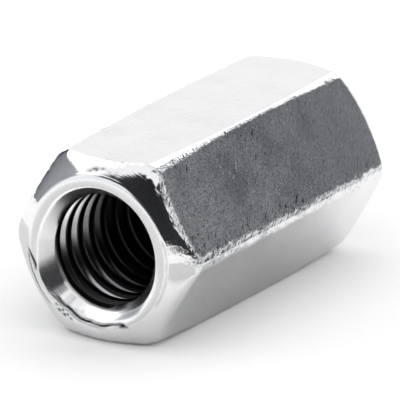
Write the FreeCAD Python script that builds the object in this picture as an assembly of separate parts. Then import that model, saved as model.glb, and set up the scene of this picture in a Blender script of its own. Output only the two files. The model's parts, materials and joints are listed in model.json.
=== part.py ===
import FreeCAD, Part
import math
import os

# A long hexagon coupling nut lying on one of its flats, in millimetres.
# The bore runs along X, two of the flats face up and down along Z,
# and the origin is on the axis of the bore at mid length.

# Hexagon
across_flats = 15.875
length = 33.3375
corner_short_middle = 0.05   # how far each corner stops short of a sharp one, at mid length
corner_short_end = 0.26      # the same beside the end chamfers, where the die fills the corners less

# Bore, at the crest diameter of the thread that runs right through it
bore_diameter = 9.5
countersink_angle = 70.0     # included angle of the cone that leads into the thread
countersink_width = 1.05     # how far that cone opens beyond the bore, on the radius

# Ends
lip_width = 0.8              # flat ring left standing between countersink and chamfer
lip_round = 0.2              # radius of the two edges of that ring
chamfer_angle = 40.0         # slope of the outer cone, measured from the end plane

# Sizes that follow from these
end_x = length / 2
corner_radius = across_flats / math.sqrt(3)
barrel_radius_middle = corner_radius - corner_short_middle
barrel_radius_end = corner_radius - corner_short_end
bore_radius = bore_diameter / 2
mouth_radius = bore_radius + countersink_width
lip_radius = mouth_radius + lip_width
countersink_depth = countersink_width / math.tan(math.radians(countersink_angle / 2))
chamfer_depth = (barrel_radius_end - lip_radius) * math.tan(math.radians(chamfer_angle))

axis_middle = FreeCAD.Vector(0, 0, 0)
along_axis = FreeCAD.Vector(1, 0, 0)


def hexagon_bar():
    # Sharp-cornered bar with a flat on top and a flat below.
    corners = []
    for side in range(7):
        turn = math.radians(60 * side)
        corners.append(FreeCAD.Vector(-end_x, corner_radius * math.cos(turn), corner_radius * math.sin(turn)))
    return Part.Face(Part.makePolygon(corners)).extrude(along_axis * length)


def rounded_path(points, rounds):
    # Straight lines from point to point, with an arc at each inner point that has a radius.
    edges = []
    start = points[0]
    for before, corner, after, radius in zip(points, points[1:], points[2:], rounds[1:]):
        if radius == 0:
            edges.append(Part.LineSegment(start, corner).toShape())
            start = corner
            continue
        to_before = (before - corner).normalize()
        to_after = (after - corner).normalize()
        half_angle = to_before.getAngle(to_after) / 2
        inward = (to_before + to_after).normalize()
        cut_back = radius / math.tan(half_angle)
        arc_start = corner + to_before * cut_back
        arc_middle = corner + inward * (radius / math.sin(half_angle) - radius)
        arc_end = corner + to_after * cut_back
        edges.append(Part.LineSegment(start, arc_start).toShape())
        edges.append(Part.Arc(arc_start, arc_middle, arc_end).toShape())
        start = arc_end
    edges.append(Part.LineSegment(start, points[-1]).toShape())
    return edges


def turned_blank():
    # Everything that is round about the axis, as one section turned through a full circle:
    # chamfers, lips, countersinks and bore, and the barrel that trims the hexagon's corners.
    half_section = [
        (end_x - chamfer_depth, barrel_radius_end, 0),
        (end_x, lip_radius, lip_round),
        (end_x, mouth_radius, lip_round),
        (end_x - countersink_depth, bore_radius, 0),
    ]
    other_half = [(-x, radius, edge_round) for x, radius, edge_round in reversed(half_section)]
    section = half_section + other_half
    points = [FreeCAD.Vector(x, 0, radius) for x, radius, edge_round in section]
    rounds = [edge_round for x, radius, edge_round in section]
    barrel_middle = FreeCAD.Vector(0, 0, barrel_radius_middle)
    barrel = Part.Arc(points[-1], barrel_middle, points[0]).toShape()
    outline = Part.Wire(rounded_path(points, rounds) + [barrel])
    return Part.Face(outline).revolve(axis_middle, along_axis, 360)


nut = hexagon_bar().common(turned_blank()).Solids[0]

os.makedirs("parts", exist_ok=True)
nut.exportStep("parts/hex_coupling_nut.step")
print("hex_coupling_nut:", round(nut.Volume, 2), "mm3, valid", nut.isValid())
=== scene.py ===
import bpy
import json
import math
import numpy as np
from mathutils import Matrix, Vector


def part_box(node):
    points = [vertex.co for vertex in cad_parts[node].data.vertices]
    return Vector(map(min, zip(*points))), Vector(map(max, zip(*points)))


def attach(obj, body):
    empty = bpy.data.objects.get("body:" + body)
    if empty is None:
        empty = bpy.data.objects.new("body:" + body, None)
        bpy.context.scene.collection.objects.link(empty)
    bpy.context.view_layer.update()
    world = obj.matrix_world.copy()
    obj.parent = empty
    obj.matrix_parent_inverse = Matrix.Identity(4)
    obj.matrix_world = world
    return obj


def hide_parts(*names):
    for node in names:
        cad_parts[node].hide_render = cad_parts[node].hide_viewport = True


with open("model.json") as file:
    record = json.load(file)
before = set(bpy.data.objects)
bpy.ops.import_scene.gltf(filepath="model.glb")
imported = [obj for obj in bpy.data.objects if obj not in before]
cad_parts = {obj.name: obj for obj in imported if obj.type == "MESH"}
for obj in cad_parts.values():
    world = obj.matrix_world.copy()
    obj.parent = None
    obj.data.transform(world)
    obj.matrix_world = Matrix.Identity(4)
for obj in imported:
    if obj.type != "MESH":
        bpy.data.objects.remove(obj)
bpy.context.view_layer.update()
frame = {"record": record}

# Hex coupling nut, lying on a flat with its thread along X. Shapes are worked out in
# millimetres round the X axis: angle 0 is +Y, 90 degrees is +Z, and the near end is -X.
mm = 0.001
inch = 25.4                           # mm
turn = 2 * math.pi
sides = 6
sixth = turn / sides                  # from one corner to the next
topEntry = 3                          # place of 90 degrees in a list that goes by 30
latticeRows = 128                     # random heights come again after this many rows
nodeName = "hex_coupling_nut"
nutHigh = np.array(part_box(nodeName)[1]) / mm
threadMount = next(m for m in frame["record"]["mounts"] if m["name"] == "thread")
print("frame: nut", np.round(2 * nutHigh, 3), "mm")


def hexToLinear(code):
    # sRGB hex to linear light: straight below 0.04045, a power of 2.4 above
    shares = np.array([int(code[i:i + 2], 16) for i in (1, 3, 5)]) / 255
    linear = np.where(shares <= 0.04045, shares / 12.92, ((shares + 0.055) / 1.055) ** 2.4)
    return (*linear.tolist(), 1.0)


def addNode(tree, kind, sockets=None, **settings):
    # one node: settings are its properties, sockets are values or links by input name or number; a Map
    # Range has its old span at 1 and 2 and its new one at 3 and 4, a Mix its share at 0 and its two
    # colours at 6 and 7
    made = tree.nodes.new(kind)
    for name, value in settings.items():
        setattr(made, name, value)
    for key, value in (sockets or {}).items():
        if isinstance(value, bpy.types.NodeSocket):
            tree.links.new(value, made.inputs[key])
        else:
            made.inputs[key].default_value = value
    return made


def ease(share):
    # 0 to 1 with a level start and end: three squares less two cubes
    share = np.clip(share, 0, 1)
    return share * share * (3 - 2 * share)


def softMin(a, b, blend):
    # the lower of two heights, with the crease between them rounded over about blend
    share = np.clip(0.5 + 0.5 * (b - a) / blend, 0, 1)
    return b + (a - b) * share - blend * share * (1 - share)


def lumps(theta, along, cells, seed):
    # smooth random heights from 0 to 1: random values on a lattice with that many cells in a turn
    # and a row for each unit along, eased from corner to corner
    lattice = np.random.default_rng(seed).random((cells, latticeRows))
    around = theta / turn * cells
    column = np.floor(around).astype(int)
    row = np.floor(along).astype(int)
    across = ease(around - column)
    onward = ease(along - row)
    left, right = column % cells, (column + 1) % cells
    here, ahead = row % latticeRows, (row + 1) % latticeRows
    low = lattice[left, here] * (1 - across) + lattice[right, here] * across
    high = lattice[left, ahead] * (1 - across) + lattice[right, ahead] * across
    return low * (1 - onward) + high * onward


def roundTurn(theta, values):
    # values given at even steps round the nut, eased from each to the next
    place = np.mod(theta / turn * len(values), len(values))
    low = np.floor(place).astype(int) % len(values)
    share = ease(place - np.floor(place))
    listed = np.array(values)
    return listed[low] * (1 - share) + listed[(low + 1) % len(values)] * share


def apart(theta, angle):
    # signed angle in radians from a place given in degrees
    return np.mod(theta - math.radians(angle) + math.pi, turn) - math.pi


nut = {
    "endX": nutHigh[0],               # half the length
    "flat": nutHigh[2],               # axis to flat
    "boreRadius": threadMount["dims"]["r_mm"],
    # wide end of the countersink, at 0, 30, 60 degrees and on
    "mouthRadius": (5.95, 5.75, 5.75, 5.75, 5.7, 5.65, 5.65, 5.75, 5.85, 5.9, 5.98, 6.27),
    # slope of the countersink's wall from the axis, in degrees, likewise
    "coneHalf": (41, 38, 35, 35, 35, 35, 35, 37, 40, 42, 42, 46),
    # length of the round at the lip's inner edge, likewise
    "lipRound": (0.3, 0.4, 0.3, 0.2, 0.15, 0.12, 0.12, 0.25, 0.75, 1.0, 0.3, 0.14),
    "lipOuterRound": 0.2,
    "lipRadius": 6.6,                 # outer edge of the flat ring at each end
    "chamfer": math.radians(40),      # slope of the outer cone, from the end plane
    "belly": 0.15,                    # how far the chamfer bulges at half its depth
    # width of the soft edge between chamfer and side, at 0, 30, 60 degrees and on
    "edgeBlend": (0.3, 0.3, 0.25, 0.2, 0.55, 0.7, 0.4, 0.9, 0.6, 0.3, 0.3, 0.35),
    "edgeNicks": 0.26,                # how far that edge wanders
    "edgeCells": 150,                 # places for that in a turn
    "edgeRow": 3,                     # row of random heights for the far end, and -3 for the near one
    "edgeSeed": 3,
    "edgeSteps": 7,                   # steps in finding that edge
    # how far each corner stops short of a sharp one, at 0, 60, 120 degrees and on: mid length, the ends,
    # and the deepest of the small nicks along it
    "trimMiddle": (0.05, 0.05, 0.15, 0.26, 0.05, 0.05),
    "trimNear": (0.3, 0.4, 0.5, 0.4, 0.5, 0.36),
    "trimFar": (0.26, 0.26, 0.32, 0.3, 0.6, 0.26),
    "cornerNicks": (0.12, 0.12, 0.04, 0.12, 0.12, 0.12),
    "nickLength": 0.45,
    "nickCells": 120,                 # places for nicks in a turn
    "nickSeed": 2,
    "cornerBlend": 0.09,              # rounding beside the corners
    "hollow": 0.02,                   # how far a flat sinks in its low places
    "hollowLength": 6,
    "hollowCells": 18,                # places for these in a turn
    "hollowSeed": 1,
    # how coarse the grain is on each flat, at 30, 90, 150 degrees and on
    "flatGrain": (0.5, 0.08, 1.0, 0.1, 0.9, 0.6),
    "grainStart": 0.4,                # distance over which it sets in
    "farGrain": 0.4,                  # share of it that is left at the far end
    "farGrainFrom": -2.0,             # it begins to fade here, mm along X
    # how strongly the ends' edges are burred, at 0, 30, 60 degrees and on, and the long edges at 0, 60, 120
    "endBurrs": (0.5, 0.4, 0.5, 0.5, 0.35, 0.3, 0.4, 0.15, 0.2, 0.3, 0.6, 0.6),
    "longBurrs": (0.5, 0.5, 0.12, 0.9, 0.2, 0.6),
    # how far burrs spread from an edge, at 0, 30, 60 degrees and on
    "edgeReach": (0.3, 0.3, 0.3, 0.3, 0.3, 0.4, 0.6, 0.3, 0.3, 0.3, 0.3, 0.3),
    "columns": 42,                    # points across each flat
    "crowding": 0.6,                  # share by which they draw together at the corners
    "flatRows": 120,                  # rows of points along the flats
    "innerRows": 12,                  # across the lip and its inner round
    "outerRows": 6,                   # across the lip's outer round
    "chamferRows": 17,                # down the chamfer
    # rows across the soft edge, as shares of its width either side of it
    "edgeRows": (-0.75, -0.5, -0.25, 0.0, 0.25, 0.5, 0.75, 1.0),
}


def sideRadius(theta, x):
    # hexagon: a flat is its distance over the cosine of the angle from its middle; each corner is
    # cut by a barrel whose radius falls with the square of the way to the end, and by nicks, which
    # are random heights cubed so that few are deep
    phi = np.mod(theta, sixth) - sixth / 2
    corner = np.mod(np.rint(theta / sixth).astype(int), sides)
    middle, near, far, nicks = (np.array(nut[name])[corner]
                                for name in ("trimMiddle", "trimNear", "trimFar", "cornerNicks"))
    trim = middle + (np.where(x < 0, near, far) - middle) * (x / nut["endX"]) ** 2
    trim = trim + nicks * lumps(theta, x / nut["nickLength"], nut["nickCells"], nut["nickSeed"]) ** 3
    sink = nut["hollow"] * lumps(theta, x / nut["hollowLength"], nut["hollowCells"], nut["hollowSeed"])
    flats = (nut["flat"] - sink) / np.cos(phi)
    barrel = nut["flat"] / math.cos(sixth / 2) - trim
    return softMin(flats, barrel, nut["cornerBlend"])


def bend(start, corner, end, count):
    # a corner rounded by a parabola: two straight blends, blended again; rows down, columns across
    t = np.linspace(0, 1, count)[:, None]
    return (1 - t) ** 2 * start + 2 * t * (1 - t) * corner + t ** 2 * end


# A tongue of metal is lapped over at the lower left of the near lip, a faint groove follows the lip at the
# right, and tools have nicked lip, countersink and chamfer. Folds and nicks are also painted dark by their
# depth, as painted shade.
lap = {
    # each fold line: angles in degrees, radii at those angles, depth and width
    "lines": (
        ((-119, -115, -110, -102, -93, -84, -75, -66, -60, -50, -44, -40, -36),
         (6.66, 6.5, 6.2, 6.19, 6.27, 6.14, 6.22, 6.02, 5.97, 5.95, 5.97, 6.15, 6.24), 0.15, 0.13),
        ((-50, -41, -32, -20, -11, -8, -6), (7.18, 7.12, 6.98, 6.96, 6.9, 6.8, 6.65), 0.12, 0.1),
        ((-24, -17, -13, -9.5, -7, -3), (6.42, 6.36, 6.42, 6.57, 6.75, 6.92), 0.16, 0.1),
        ((158, 172, 190, 205, 216), (6.64, 6.7, 6.72, 6.7, 6.62), 0.04, 0.1),
    ),
    "fullDepth": 0.115,               # painted shade: from this depth on a fold or nick is painted black
    "waver": 0.1,                     # how far a line strays from its course
    "waverCells": 100,                # places for that in a turn
    "waverSeed": 5,
    "breaks": 0.4,                    # share of its depth that it loses in places
    "breakCells": 70,                 # places for these in a turn
    "breakSeed": 6,
    "fade": 5,                        # degrees over which a line ends
    # angle, radius, size and depth of each nick
    "nicks": (
        (88, 7.15, 0.2, 0.1), (83, 7.02, 0.16, 0.08), (93, 7.25, 0.14, 0.08),
        (-52, 6.45, 0.13, 0.1), (-56, 6.7, 0.16, 0.13), (-58.5, 6.42, 0.12, 0.11), (-61, 6.75, 0.16, 0.14),
        (-63.5, 6.5, 0.13, 0.12), (-67, 6.66, 0.15, 0.1), (-112.5, 6.36, 0.16, 0.14),
        (-69, 5.78, 0.2, 0.03), (-74, 5.7, 0.24, 0.035), (-78, 5.82, 0.16, 0.03),
    ),
}


def lapDepth(theta, radius):
    # a fold is a groove of bell section along its line, fading at both ends; nicks are round bells
    zero = 0 * theta
    stray = lap["waver"] * (lumps(theta, zero, lap["waverCells"], lap["waverSeed"]) - 0.5)
    whole = 1 - lap["breaks"] * lumps(theta, zero, lap["breakCells"], lap["breakSeed"])
    depth = 0 * radius
    for angles, radii, deep, width in lap["lines"]:
        middle = (angles[0] + angles[-1]) / 2
        angle = np.degrees(apart(theta, middle)) + middle
        line = np.interp(angle, angles, radii) + stray
        fade = ease((angle - angles[0]) / lap["fade"]) * ease((angles[-1] - angle) / lap["fade"])
        depth = depth + deep * fade * whole * np.exp(-((radius - line) / width) ** 2)
    for angle, r, size, deep in lap["nicks"]:
        far = (r * apart(theta, angle)) ** 2 + (radius - r) ** 2
        depth = depth + deep * np.exp(-far / size ** 2)
    return depth


def endRows(theta, side):
    # one end, from the mouth of the countersink out over lip and chamfer to the start of the flats:
    # straight lines joined by rounds, as depth below the end plane and radius at each angle
    zero = 0 * theta
    # the far end is cut true, as the near one is at the top
    inner, mouth, half = (roundTurn(theta, nut[name]) if side < 0 else zero + nut[name][topEntry]
                          for name in ("lipRound", "mouthRadius", "coneHalf"))
    half = np.radians(half)
    outer = nut["lipOuterRound"]
    lip = nut["lipRadius"] + zero
    slope = math.tan(nut["chamfer"])
    innerDepth = bend(inner * np.cos(half), zero, zero, nut["innerRows"])
    innerRadius = bend(mouth - inner * np.sin(half), mouth, lip - outer, nut["innerRows"])
    # depth at which the chamfer meets the side, found by stepping towards it
    edge = zero
    for _ in range(nut["edgeSteps"]):
        edge = (sideRadius(theta, side * (nut["endX"] - edge)) - lip) * slope
    wander = lumps(theta, side * nut["edgeRow"] + zero, nut["edgeCells"], nut["edgeSeed"]) - 0.5
    edge = edge + nut["edgeNicks"] * wander
    soft = roundTurn(theta, nut["edgeBlend"])
    close = np.array(nut["edgeRows"])[:, None] * soft
    outerDepth = bend(zero, zero, zero + outer * math.sin(nut["chamfer"]), nut["outerRows"])
    # rows down the chamfer stop a gap short of those across its edge
    gap = close[1] - close[0]
    share = np.linspace(0, 1, nut["chamferRows"] + 1)[1:, None]
    run = outerDepth[-1] + (edge + close[0] - gap - outerDepth[-1]) * share
    coneDepth = np.concatenate([run, edge + close])
    # the chamfer is a cone with a bulge in the shape of a parabola, blended into the side
    bulge = 4 * nut["belly"] * (coneDepth / edge) * (1 - coneDepth / edge)
    cone = lip + coneDepth / slope + np.maximum(bulge, 0)
    coneRadius = softMin(sideRadius(theta, side * (nut["endX"] - coneDepth)), cone, soft)
    outerEnd = coneRadius[0] - (run[0] - outerDepth[-1]) / slope
    outerRadius = bend(lip - outer, lip, outerEnd, nut["outerRows"])
    depth = np.concatenate([innerDepth, outerDepth[1:], coneDepth])
    radius = np.concatenate([innerRadius, outerRadius[1:], coneRadius])
    onFlat = ease((depth - edge) / nut["grainStart"] + 0.5)
    nearEdge = np.exp(-np.abs(depth - edge) / roundTurn(theta, nut["edgeReach"]))
    lapped = lapDepth(theta, radius) if side < 0 else 0 * depth
    x = side * (nut["endX"] - depth - lapped)
    # the last value is painted shade: the folds' and nicks' depth, as a share of fullDepth, darkens the
    # colour there
    return x, radius, nearEdge, onFlat, np.clip(lapped / lap["fullDepth"], 0, 1)


def skinGrid(theta):
    # outside of the nut: near end, flats, far end, one ring of points after another
    near = endRows(theta, -1)
    far = endRows(theta, 1)
    share = np.linspace(0, 1, nut["flatRows"] + 2)[1:-1, None]
    x = near[0][-1] + (far[0][-1] - near[0][-1]) * share
    # the flats lie away from the ends' edges, are all flat and have no folds
    middle = (x, sideRadius(theta, x), 0 * x, 0 * x + 1, 0 * x)
    x, r, nearEdge, onFlat, lapped = (np.concatenate([n, m, f[::-1]]) for n, m, f in zip(near, middle, far))
    phi = np.mod(theta, sixth) - sixth / 2
    toCorner = (sixth / 2 - np.abs(phi)) * nut["flat"]
    reach = roundTurn(theta, nut["edgeReach"])
    longEdge = np.exp(-toCorner / reach) * onFlat * roundTurn(theta, nut["longBurrs"])
    edge = np.maximum(nearEdge * roundTurn(theta, nut["endBurrs"]), longEdge)
    farther = ease((x - nut["farGrainFrom"]) / (nut["endX"] - nut["farGrainFrom"]))
    flatGrain = np.array(nut["flatGrain"])[np.floor(theta / sixth).astype(int) % sides]
    coarse = onFlat * flatGrain * (1 - (1 - nut["farGrain"]) * farther)
    return x, r, edge, onFlat, coarse, lapped


thread = {
    "pitch": inch / 14,
    "rootRadius": inch * 7 / 16 / 2,
    # rows in one pitch, as shares of it from the middle of a crest
    "rows": (0.165, 0.197, 0.31, 0.43, 0.46, 0.54, 0.57, 0.69, 0.803, 0.835),
    "crestHalf": 0.181,               # half width of a crest, as a share of the pitch
    "rootHalf": 0.0625,
    "start": 0.67,                    # a crest passes angle 0 this far beyond mid length, in pitches
    "spareTurns": 2,                  # turns worked out past each end before those outside are dropped
    "runOut": (1.2, 2.6),             # the groove grows to its full depth between these, mm from the end
    # painted shade on the flanks, darker on some sides, at 0, 30, 60 degrees and on: everywhere, then in the
    # first turn alone
    "threadShade": (0.5, 0.0, 0.0, 0.2, 0.5, 0.8, 0.8, 0.8, 0.4, 0.35, 0.35, 0.85),
    "firstTurnShade": (0.2, 0.0, 0.0, 0.0, 0.3, 0.8, 0.8, 0.8, 0.97, 0.97, 0.96, 0.85),
    "firstTurn": (3.8, 3.2),          # that is gone at the first depth and full at the second, mm
    # how far down the flanks the painted shade bands on the crests reach, in pitches, at 0, 30, 60 degrees
    # and on
    "bandReach": (0.02, 0.0, 0.0, 0.0, 0.0, 0.0, 0.0, 0.03, 0.07, 0.08, 0.07, 0.03),
    "cleanCone": 0.1,                 # mm from the countersink's cone over which the dark sets in
    "midFlank": 0.3,                  # a place that has no dark band, in pitches from the crest
}


def boreGrid(theta, nearMouth, farMouth):
    # inside of the nut: each row is a right-hand helix, one pitch forward a turn, at the radius of a
    # 60 degree thread (crest flat, straight flank, root flat); the countersink's cone takes over
    # wherever it is wider
    rows = np.array(thread["rows"])
    turns = math.ceil(nut["endX"] / thread["pitch"]) + thread["spareTurns"]
    phase = (np.arange(-turns, turns + 1)[:, None] + rows).ravel()[:, None]
    along = thread["pitch"] * (phase + thread["start"] + theta / turn)
    beyond = nut["endX"] + thread["pitch"]
    inside = (along.max(1) > -beyond) & (along.min(1) < beyond)
    first = np.argmax(inside) // len(rows) * len(rows)
    last = len(inside) - np.argmax(inside[::-1]) // len(rows) * len(rows)
    phase, along = phase[first:last], along[first:last]
    away = np.abs(np.mod(phase + 0.5, 1) - 0.5)
    rise = np.clip((away - thread["crestHalf"]) / (0.5 - thread["rootHalf"] - thread["crestHalf"]), 0, 1)
    deep = nut["endX"] - np.abs(along)
    growth = ease((deep - thread["runOut"][0]) / (thread["runOut"][1] - thread["runOut"][0]))
    helix = nut["boreRadius"] + (thread["rootRadius"] - nut["boreRadius"]) * rise * growth
    near = along < 0
    mouthX, mouthR = (np.where(near, n, f) for n, f in zip(nearMouth, farMouth))
    half = np.radians(np.where(near, roundTurn(theta, nut["coneHalf"]), nut["coneHalf"][topEntry]))
    cone = mouthR - (mouthX - np.abs(along)) * np.tan(half)
    outside = np.abs(along) >= mouthX
    x = np.where(outside, np.sign(along) * mouthX, along)
    r = np.where(outside, mouthR, np.maximum(helix, cone))
    # painted shade on the flanks, and the way from the crest for the painted shade bands along crests and
    # roots; the cone has neither
    tapped = np.where(outside, 0, ease((helix - cone) / thread["cleanCone"]))
    gone, full = thread["firstTurn"]
    early = roundTurn(theta, thread["firstTurnShade"]) * ease((deep - gone) / (full - gone))
    threadShade = tapped * np.maximum(roundTurn(theta, thread["threadShade"]), early)
    away = thread["midFlank"] + (away - roundTurn(theta, thread["bandReach"]) - thread["midFlank"]) * tapped
    return x, r, threadShade, np.maximum(deep, 0), away


def gridFaces(rows, columns, start=0, flip=False):
    # four-cornered faces between neighbouring rows and columns
    base = start + np.arange(rows - 1)[:, None] * columns + np.arange(columns - 1)
    corners = [base, base + 1, base + columns + 1, base + columns]
    return np.stack(corners[::-1] if flip else corners, -1).reshape(-1, 4)


def buildNut():
    # skin and bore as two grids on the same angles, which a sine draws together at the corners
    s = np.linspace(-1, 1, nut["columns"], endpoint=False)
    phi = sixth / 2 * (s + nut["crowding"] * np.sin(math.pi * s) / math.pi)
    theta = (np.arange(sides)[:, None] * turn / sides + turn / 4 + phi).ravel()
    theta = np.append(theta, theta[0] + turn)
    skinX, skinR, edge, onFlat, coarse, lapped = skinGrid(theta)
    boreX, boreR, threadShade, deep, away = boreGrid(theta, (-skinX[0], skinR[0]), (skinX[-1], skinR[-1]))
    skin = np.stack([skinX, skinR * np.cos(theta), skinR * np.sin(theta)], -1)
    bore = np.stack([boreX, boreR * np.cos(theta), boreR * np.sin(theta)], -1)
    # the last column is the first again, a pitch further on in the thread, and both skins share the mouths
    pitchRows = len(thread["rows"])
    skin[:, -1] = skin[:, 0]
    bore[:-pitchRows, -1] = bore[pitchRows:, 0]
    bore = np.where((boreX <= skinX[0])[..., None], skin[0], bore)
    bore = np.where((boreX >= skinX[-1])[..., None], skin[-1], bore)
    points = np.concatenate([skin.reshape(-1, 3), bore.reshape(-1, 3)])
    faces = np.concatenate([
        gridFaces(*skinX.shape),
        gridFaces(*boreX.shape, start=skinX.size, flip=True),
    ])
    # equal points become one, and a face that this leaves without width is dropped
    points, firsts, index = np.unique(points, axis=0, return_index=True, return_inverse=True)
    faces = index.ravel()[faces]
    same = faces == np.roll(faces, -1, 1)
    crossed = (faces[:, 0] == faces[:, 2]) | (faces[:, 1] == faces[:, 3])
    quads = faces[~same.any(1) & ~crossed]
    folded = (same.sum(1) == 1) & ~crossed
    triangles = faces[folded][~same[folded]].reshape(-1, 3)
    mesh = bpy.data.meshes.new("hexCouplingNut")
    mesh.from_pydata((points * mm).tolist(), [], quads.tolist() + triangles.tolist())
    mesh.polygons.foreach_set("use_smooth", np.ones(len(mesh.polygons), bool))
    none = np.zeros(boreX.size)
    marks = {
        "edge": np.concatenate([edge.ravel(), none]),
        "onFlat": np.concatenate([onFlat.ravel(), none]),
        "coarse": np.concatenate([coarse.ravel(), none]),
        "paintedShade": np.concatenate([lapped.ravel(), threadShade.ravel()]),
        "deep": np.concatenate([0 * edge.ravel(), deep.ravel()]),
        "away": np.concatenate([0 * edge.ravel() + thread["midFlank"], away.ravel()]),
    }
    for name, values in marks.items():
        mark = mesh.attributes.new(name, "FLOAT", "POINT")
        mark.data.foreach_set("value", values[firsts].astype(np.float32))
    mesh.update()
    piece = bpy.data.objects.new("hexCouplingNut", mesh)
    bpy.context.collection.objects.link(piece)
    print("nut:", len(points), "points,", 2 * len(quads) + len(triangles), "triangles")
    return piece


zinc = {
    "bright": "#f4f4f5",
    "dull": "#b6babf",
    "dullShare": (0.12, 1.0),         # of the dull clouds, on the ends and on the coarsest flat
    "cloud": 4.0,                     # mm across
    "cloudDetail": 3.0,               # finer layers in this noise
    "cloudRange": (0.25, 0.75),       # the noise that is wholly bright, and wholly dull
    "pitted": "#44474b",              # floor of a pit
    "deepBoreShade": "#1f2021",               # painted shade deep in the bore, where the plate also thins out
    "paintedShade": "#0d0d0e",                # painted shade in the thread and in folds and nicks
    "boreShadeReach": (4.0, 9.2),         # mm below the mouth over which the plate thins out and the painted shade deepens
    "grain": 0.2,                     # mm; really about 0.1, drawn twice as coarse to show
    "grainDetail": 3.0,
    "grainRelief": 0.03,              # mm, on the coarsest flat
    # grain darkens below the first level, down to the second, by the third
    "speckle": (0.61, 0.31, 0.48),
    "pit": (0.16, 0.8),               # width and length of the drawn-out pits, mm
    "pitDetail": 2.0,
    "pitLean": math.radians(43),      # they lean this far from square to the axis, in the X-Z plane
    "pitCover": (0.385, 0.33),        # the noise makes a pit below the first, full depth at the second
    "pitCrowd": 0.15,                 # both are this much higher by an edge
    "pitDepth": 0.01,                 # mm
    "scrape": (0.6, 0.7),             # the plate is scraped bright where the same noise is this high
    "burr": 0.42,                     # mm, along the bruised edges
    "burrDetail": 1.0,
    "burrRelief": 0.26,               # mm
    "burrPatches": (0.4, 0.55),       # none in clouds below the first, full height above the second
    "turning": 0.11,                  # mm between the tool marks on the ends
    "turningRelief": 0.004,           # mm
    "endRough": 0.08,                 # roughness of the ends, then of the flats
    "flatRough": 0.2,
    "latheRadius": (6.75, 6.5),       # lip and countersink, inside the second, were cut on a lathe
    "latheDepth": (1.8, 1.2),         # but not below the first of these depths, mm
    "latheRough": 0.16,               # this and the next two are added to that roughness
    "deepBoreRough": 0.17,
    "paintedShadeRough": 0.25,
    # painted shade bands along the thread, in pitches from the middle of a crest: where the one on each crest
    # is gone and where it is full, and the same for the one in each root
    "crestBand": (0.24, 0.2),
    "rootBand": (0.43, 0.455),
    "crestDark": 0.98,                # how dark the first is
}


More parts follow.
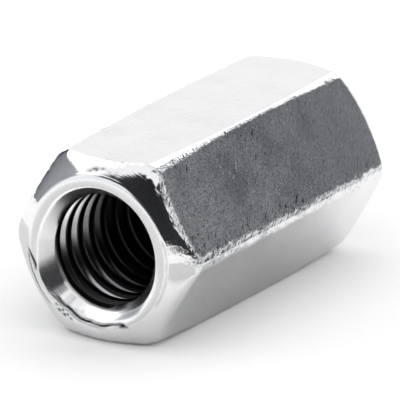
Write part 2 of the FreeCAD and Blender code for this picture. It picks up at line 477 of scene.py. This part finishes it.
def zincPlate():
    # Bright zinc plate over cold-formed steel: mirror-like where tools pressed it smooth, finely grained,
    # pitted and scraped on the drawn flats, burred along the edges and ringed by tool marks on the ends. The
    # tapped bore is painted darker with depth, where the plate thins out, with painted shade on crests, in
    # roots and on some flanks, and the lip's folds and nicks are painted dark as shade.
    material = bpy.data.materials.new("brightZincPlatedSteel")
    material.use_nodes = True
    tree = material.node_tree
    tree.nodes.clear()
    place = addNode(tree, "ShaderNodeTexCoord").outputs["Object"]
    masks = {
        name: addNode(tree, "ShaderNodeAttribute", attribute_name=name).outputs["Fac"]
        for name in ("edge", "onFlat", "coarse", "paintedShade", "deep", "away")
    }
    cloud = addNode(tree, "ShaderNodeTexNoise", {
        "Vector": place, "Scale": 1 / (zinc["cloud"] * mm), "Detail": zinc["cloudDetail"]}).outputs["Fac"]
    # grain on the flats
    grain = addNode(tree, "ShaderNodeTexNoise", {
        "Vector": place, "Scale": 1 / (zinc["grain"] * mm), "Detail": zinc["grainDetail"]}).outputs["Fac"]
    grained = addNode(tree, "ShaderNodeMath", {
        0: masks["coarse"], 1: zinc["grainRelief"]}, operation="MULTIPLY").outputs[0]
    # pits, drawn out on a slant and closer together by the edges
    width, length = (size * mm for size in zinc["pit"])
    stretch = addNode(tree, "ShaderNodeMapping", {
        "Vector": place, "Rotation": (0, zinc["pitLean"], 0), "Scale": (width, length, length)},
        vector_type="TEXTURE").outputs[0]
    streak = addNode(tree, "ShaderNodeTexNoise", {
        "Vector": stretch, "Scale": 1.0, "Detail": zinc["pitDetail"]}).outputs["Fac"]
    crowd = addNode(tree, "ShaderNodeMath", {
        0: masks["edge"], 1: -zinc["pitCrowd"], 2: streak}, operation="MULTIPLY_ADD").outputs[0]
    low = addNode(tree, "ShaderNodeMapRange", {
        "Value": crowd, 1: zinc["pitCover"][0], 2: zinc["pitCover"][1]}).outputs[0]
    speckle = addNode(tree, "ShaderNodeMapRange", {
        "Value": grain, 1: zinc["speckle"][0], 2: zinc["speckle"][1], 4: zinc["speckle"][2]}).outputs[0]
    deeper = addNode(tree, "ShaderNodeMath", {0: low, 1: speckle}, operation="MAXIMUM").outputs[0]
    pits = addNode(tree, "ShaderNodeMath", {0: deeper, 1: masks["coarse"]}, operation="MULTIPLY").outputs[0]
    # burrs along the edges, in patches
    burr = addNode(tree, "ShaderNodeTexNoise", {
        "Vector": place, "Scale": 1 / (zinc["burr"] * mm), "Detail": zinc["burrDetail"]}).outputs["Fac"]
    none, full = zinc["burrPatches"]
    patches = addNode(tree, "ShaderNodeMapRange", {
        "Value": cloud, 1: none, 2: full, 4: zinc["burrRelief"]}).outputs[0]
    burred = addNode(tree, "ShaderNodeMath", {0: masks["edge"], 1: patches}, operation="MULTIPLY").outputs[0]
    # tool marks round the ends: noise along the radius alone, a little out of true
    across = addNode(tree, "ShaderNodeVectorMath", {0: place, 1: (0, 1, 1)}, operation="MULTIPLY").outputs[0]
    radius = addNode(tree, "ShaderNodeVectorMath", {0: across}, operation="LENGTH").outputs["Value"]
    rings = addNode(tree, "ShaderNodeMath", {
        0: radius, 1: 1 / (zinc["turning"] * mm), 2: cloud}, operation="MULTIPLY_ADD").outputs[0]
    marks = addNode(tree, "ShaderNodeTexNoise", {
        "W": rings, "Scale": 1.0}, noise_dimensions="1D").outputs["Fac"]
    turned = addNode(tree, "ShaderNodeMapRange", {
        "Value": masks["onFlat"], 3: zinc["turningRelief"], 4: 0.0}).outputs[0]
    # all of these added up in mm
    height = addNode(tree, "ShaderNodeMath", {0: pits, 1: -zinc["pitDepth"]}, operation="MULTIPLY").outputs[0]
    for wave, relief in ((grain, grained), (burr, burred), (marks, turned)):
        height = addNode(tree, "ShaderNodeMath", {
            0: wave, 1: relief, 2: height}, operation="MULTIPLY_ADD").outputs[0]
    bump = addNode(tree, "ShaderNodeBump", {"Height": height, "Distance": mm, "Strength": 1.0}).outputs[0]
    # colour: dull clouds in the plate, bright scrapes, darker pits, and painted shade that deepens down the
    # bore, where the plate thins out
    share = addNode(tree, "ShaderNodeMapRange", {
        "Value": masks["coarse"], 3: zinc["dullShare"][0], 4: zinc["dullShare"][1]}).outputs[0]
    dulled = addNode(tree, "ShaderNodeMapRange", {
        "Value": cloud, 1: zinc["cloudRange"][0], 2: zinc["cloudRange"][1], 4: share}).outputs[0]
    scrape = addNode(tree, "ShaderNodeMapRange", {
        "Value": streak, 1: zinc["scrape"][0], 2: zinc["scrape"][1], 3: 1.0, 4: 0.0}).outputs[0]
    dulled = addNode(tree, "ShaderNodeMath", {0: dulled, 1: scrape}, operation="MULTIPLY").outputs[0]
    plate = addNode(tree, "ShaderNodeMix", {
        0: dulled, 6: hexToLinear(zinc["bright"]), 7: hexToLinear(zinc["dull"])}, data_type="RGBA").outputs[2]
    worn = addNode(tree, "ShaderNodeMix", {
        0: pits, 6: plate, 7: hexToLinear(zinc["pitted"])}, data_type="RGBA").outputs[2]
    # painted shade: the colour goes darker with depth in the bore, where the plate also thins out
    thinPlateShade = addNode(tree, "ShaderNodeMapRange", {
        "Value": masks["deep"], 1: zinc["boreShadeReach"][0], 2: zinc["boreShadeReach"][1]}).outputs[0]
    steel = addNode(tree, "ShaderNodeMix", {
        0: thinPlateShade, 6: worn, 7: hexToLinear(zinc["deepBoreShade"])}, data_type="RGBA").outputs[2]
    # painted shade: in folds and on flanks, and in bands along crests and roots
    none, full = zinc["crestBand"]
    crest = addNode(tree, "ShaderNodeMapRange", {
        "Value": masks["away"], 1: none, 2: full, 4: zinc["crestDark"]}).outputs[0]
    root = addNode(tree, "ShaderNodeMapRange", {
        "Value": masks["away"], 1: zinc["rootBand"][0], 2: zinc["rootBand"][1]}).outputs[0]
    paintedShade = masks["paintedShade"]
    for band in (crest, root):
        paintedShade = addNode(tree, "ShaderNodeMath", {0: paintedShade, 1: band}, operation="MAXIMUM").outputs[0]
    colour = addNode(tree, "ShaderNodeMix", {
        0: paintedShade, 6: steel, 7: hexToLinear(zinc["paintedShade"])}, data_type="RGBA").outputs[2]
    # roughness: smoothest on the ends, duller on the flats, dullest under the painted shade
    rough = addNode(tree, "ShaderNodeMapRange", {
        "Value": masks["onFlat"], 3: zinc["endRough"], 4: zinc["flatRough"]}).outputs[0]
    lathe = addNode(tree, "ShaderNodeMapRange", {
        "Value": radius, 1: zinc["latheRadius"][0] * mm, 2: zinc["latheRadius"][1] * mm}).outputs[0]
    shallow = addNode(tree, "ShaderNodeMapRange", {
        "Value": masks["deep"], 1: zinc["latheDepth"][0], 2: zinc["latheDepth"][1]}).outputs[0]
    lathe = addNode(tree, "ShaderNodeMath", {0: lathe, 1: shallow}, operation="MULTIPLY").outputs[0]
    for mask, more in ((lathe, "latheRough"), (thinPlateShade, "deepBoreRough"), (paintedShade, "paintedShadeRough")):
        rough = addNode(tree, "ShaderNodeMath", {
            0: mask, 1: zinc[more], 2: rough}, operation="MULTIPLY_ADD").outputs[0]
    shader = addNode(tree, "ShaderNodeBsdfPrincipled", {
        "Base Color": colour,
        "Metallic": 1.0,
        "Roughness": rough,
        "Normal": bump,
    })
    addNode(tree, "ShaderNodeOutputMaterial", {"Surface": shader.outputs[0]})
    print("zinc plate:", len(tree.nodes), "nodes")
    return material


studio = {
    "floorSize": 3.0,                 # metres
    "paper": "#e7e7e7",               # the floor as scattered light meets it
    "white": "#ffffff",               # the floor as camera and mirrors see it, and the room
    "fill": 1.1,                      # level of the room's light on what isn't a mirror
    # painted shadow: grey gauze on the floor that only mirrors see, darkening the floor round the nut as its
    # shadow in reflections: X and Y of each piece's middle in mm, the radii over which it ends, and its tone
    "gauzes": (
        (-37, 10, 10, 17, 0.68),
        (-27, -27, 10.5, 15, 0.65),
        (-1, -7, 3, 23, 0.57),
        (-48, -133, 68, 95, 0.1),
        (-9, 24, 12, 24, 0.72),
        (-20, -9, 6, 14, 0.92),
        (-23.5, 0, 2, 6, 0.7),
    ),
    "gauzeLift": 0.02,                # each lies this much above the one before, mm
    "discGrid": (60, 40),             # columns and rows of points in a gauze
    # white gauze held before the mouth: the same figures, with what it adds as its tone, and its height
    "glow": (-20.3, 2.1, 1.8, 4.2, 0.55, 3.5),
    "card": "#f5f8fe",                # tint of the cards, a little cool
    "cardGrid": (80, 50),             # columns and rows of points
    "cardFade": (6, 2),               # degrees over which a card's sides and its top go to white
    "cardShade": (1.5, 1.0, 44),      # times as bright at 0 degrees up, and from the last figure on
    # cards that only mirrors see, dark but for the slip by the mouth: distance in metres, span round from +X,
    # height of the foot and, at even steps along the span, of the top, in degrees, and brightness likewise
    "cards": {
        "rightCard": (0.3, (-56, -6), -5, (62, 62), (0.138, 0.195)),
        "cameraCard": (0.3, (-216, -93), -5, (39, 46, 54, 56, 44, 46, 46),
                       (0.035, 0.032, 0.022, 0.02, 0.026, 0.03)),
        "leftCard": (0.3, (48, 132), -1, (32, 32), (0.027, 0.035, 0.17, 0.3, 0.42)),
        "slip": (0.037, (158, 180), 10, (24, 24), (1, 1)),
    },
    # lamps that light mirrors alone: place and size in metres, and radiance
    "softboxes": (
        ((-0.01, 0.226, 0.289), (0.38, 0.26), 1.25),
        ((0.32, -0.01, 0.24), (0.12, 0.16), 1.5),
    ),
}


def seenDirectly(tree):
    # 1 for rays from the camera, from a mirror or through glass, 0 for scattered light
    path = addNode(tree, "ShaderNodeLightPath")
    either = addNode(tree, "ShaderNodeMath", {
        0: path.outputs["Is Camera Ray"], 1: path.outputs["Is Glossy Ray"]}, operation="MAXIMUM")
    return addNode(tree, "ShaderNodeMath", {
        0: either.outputs[0], 1: path.outputs["Is Transmission Ray"]}, operation="MAXIMUM").outputs[0]


def stageObject(name, points, faces, shader):
    # a floor or card: its mesh, its one material built by shader(tree), and its place on the stage
    mesh = bpy.data.meshes.new(name)
    mesh.from_pydata(points, [], faces)
    material = bpy.data.materials.new(name)
    material.use_nodes = True
    tree = material.node_tree
    tree.nodes.clear()
    addNode(tree, "ShaderNodeOutputMaterial", {"Surface": shader(tree).outputs[0]})
    mesh.materials.append(material)
    made = bpy.data.objects.new(name, mesh)
    bpy.context.collection.objects.link(made)
    return made


def paperShader(tree):
    # white to camera and mirrors, pale grey to scattered light
    tone = addNode(tree, "ShaderNodeMix", {
        0: seenDirectly(tree), 6: hexToLinear(studio["paper"]), 7: hexToLinear(studio["white"])},
        data_type="RGBA")
    return addNode(tree, "ShaderNodeBsdfDiffuse", {"Color": tone.outputs[2]})


def cardShader(tree):
    # light of the cards' tint, as strong as the tone
    tone = addNode(tree, "ShaderNodeAttribute", attribute_name="tone").outputs["Fac"]
    return addNode(tree, "ShaderNodeEmission", {"Color": hexToLinear(studio["card"]), "Strength": tone})


def gauzeShader(tree):
    # lets through as much light as the tone says
    tone = addNode(tree, "ShaderNodeAttribute", attribute_name="tone").outputs["Fac"]
    return addNode(tree, "ShaderNodeBsdfTransparent", {"Color": tone})


def glowShader(tree):
    # clear, with light as strong as the tone added
    tone = addNode(tree, "ShaderNodeAttribute", attribute_name="tone").outputs["Fac"]
    clear = addNode(tree, "ShaderNodeBsdfTransparent").outputs[0]
    light = addNode(tree, "ShaderNodeEmission", {"Strength": tone}).outputs[0]
    return addNode(tree, "ShaderNodeAddShader", {0: clear, 1: light})


def mirrorOnly(name, points, tones, shader):
    # a grid that only mirrors see, with a tone at each point
    made = stageObject(name, points.reshape(-1, 3).tolist(), gridFaces(*tones.shape).tolist(), shader)
    mark = made.data.attributes.new("tone", "FLOAT", "POINT")
    mark.data.foreach_set("value", tones.ravel().astype(np.float32))
    made.visible_camera = False
    made.visible_diffuse = False
    made.visible_shadow = False


def buildCard(name, distance, span, foot, tops, tones):
    # part of a sphere: columns of equal direction, rows at even shares of the way to the top; brightness
    # changes from column to column, falls with height unless it is white, and goes to white at the sides
    # and the top
    columns, rows = studio["cardGrid"]
    a, share = np.meshgrid(np.linspace(*span, columns), np.linspace(0, 1, rows))
    top = np.interp(a, np.linspace(*span, len(tops)), tops)
    e = foot + (top - foot) * share
    low, high, reach = studio["cardShade"]
    base = np.interp(a, np.linspace(*span, len(tones)), tones)
    base = np.where(base < 1, base * np.interp(e, (0, reach), (low, high)), base)
    aside, above = studio["cardFade"]
    cover = ease((a - span[0]) / aside) * ease((span[1] - a) / aside) * ease((top - e) / above)
    a, e = np.radians(a), np.radians(e)
    points = distance * np.stack([np.cos(e) * np.cos(a), np.cos(e) * np.sin(a), np.sin(e)], -1)
    mirrorOnly(name, points, 1 - (1 - base) * cover, cardShader)


def buildDisc(name, x, y, inner, outer, tone, lift, edge, shader):
    # a disc: rows of equal radius, columns of equal direction, its tone going to that of its edge from the
    # inner radius outwards
    columns, rows = studio["discGrid"]
    a, r = np.meshgrid(np.linspace(0, turn, columns), np.linspace(0, outer, rows))
    points = np.stack([x + r * np.cos(a), y + r * np.sin(a), 0 * r - nut["flat"] + lift], -1) * mm
    mirrorOnly(name, points, tone + (edge - tone) * ease((r - inner) / (outer - inner)), shader)


def buildStudio():
    # a white room and floor, the gauzes of painted shadow and the cards, and softboxes, whose power is pi
    # times radiance and area
    world = bpy.data.worlds.new("whiteRoom")
    bpy.context.scene.world = world
    world.use_nodes = True
    tree = world.node_tree
    tree.nodes.clear()
    level = addNode(tree, "ShaderNodeMapRange", {"Value": seenDirectly(tree), 3: studio["fill"], 4: 1.0})
    back = addNode(tree, "ShaderNodeBackground", {
        "Color": hexToLinear(studio["white"]), "Strength": level.outputs[0]})
    addNode(tree, "ShaderNodeOutputWorld", {"Surface": back.outputs[0]})
    half = studio["floorSize"] / 2
    z = -nut["flat"] * mm
    corners = [(-half, -half, z), (half, -half, z), (half, half, z), (-half, half, z)]
    stageObject("floor", corners, [(0, 1, 2, 3)], paperShader)
    # painted shadow round the nut, seen only in mirrors
    for i, gauze in enumerate(studio["gauzes"], 1):
        buildDisc(f"gauze{i}", *gauze, studio["gauzeLift"] * i, edge=1, shader=gauzeShader)
    buildDisc("glow", *studio["glow"], edge=0, shader=glowShader)
    for name, figures in studio["cards"].items():
        buildCard(name, *figures)
    for place, size, radiance in studio["softboxes"]:
        lamp = bpy.data.lights.new("softbox", "AREA")
        lamp.shape = "RECTANGLE"
        lamp.size, lamp.size_y = size
        lamp.energy = radiance * math.pi * size[0] * size[1]
        box = bpy.data.objects.new("softbox", lamp)
        box.location = place
        box.rotation_mode = "QUATERNION"
        box.rotation_quaternion = Vector(place).to_track_quat("Z", "Y")
        box.visible_camera = False
        box.visible_diffuse = False
        bpy.context.collection.objects.link(box)
    print("studio: floor,", len(studio["cards"]), "cards,", len(studio["softboxes"]), "softboxes")


view = {
    "azimuth": -58.73,                # degrees
    "elevation": 18.46,
    "distance": 1.27,                 # metres
    "frameWidth": 33.42,              # mm that the frame takes in at the nut's middle
    "aim": (-0.1446, -0.0426),        # mm right and up of the nut's middle
    "sensor": 36.0,                   # mm
    "clip": (0.1, 10.0),              # nearest and farthest that is seen, metres
}


def placeCamera():
    # out along azimuth and elevation, facing back, with the lens that gives the frame its width
    a = math.radians(view["azimuth"])
    e = math.radians(view["elevation"])
    back = Vector((math.sin(a) * math.cos(e), -math.cos(a) * math.cos(e), math.sin(e)))
    right = Vector((math.cos(a), math.sin(a), 0))
    up = back.cross(right)
    data = bpy.data.cameras.new("photoCamera")
    data.sensor_width = view["sensor"]
    data.lens = view["sensor"] * view["distance"] / (view["frameWidth"] * mm)
    data.clip_start, data.clip_end = view["clip"]
    camera = bpy.data.objects.new("photoCamera", data)
    place = back * view["distance"] + (right * view["aim"][0] + up * view["aim"][1]) * mm
    camera.matrix_world = Matrix.Translation(place) @ Matrix((right, up, back)).transposed().to_4x4()
    bpy.context.collection.objects.link(camera)
    bpy.context.scene.camera = camera
    print("camera: lens", round(data.lens), "mm")


piece = buildNut()
piece.data.materials.append(zincPlate())
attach(piece, "root")
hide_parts(nodeName)
buildStudio()
placeCamera()
bpy.context.scene.view_settings.view_transform = "Standard"
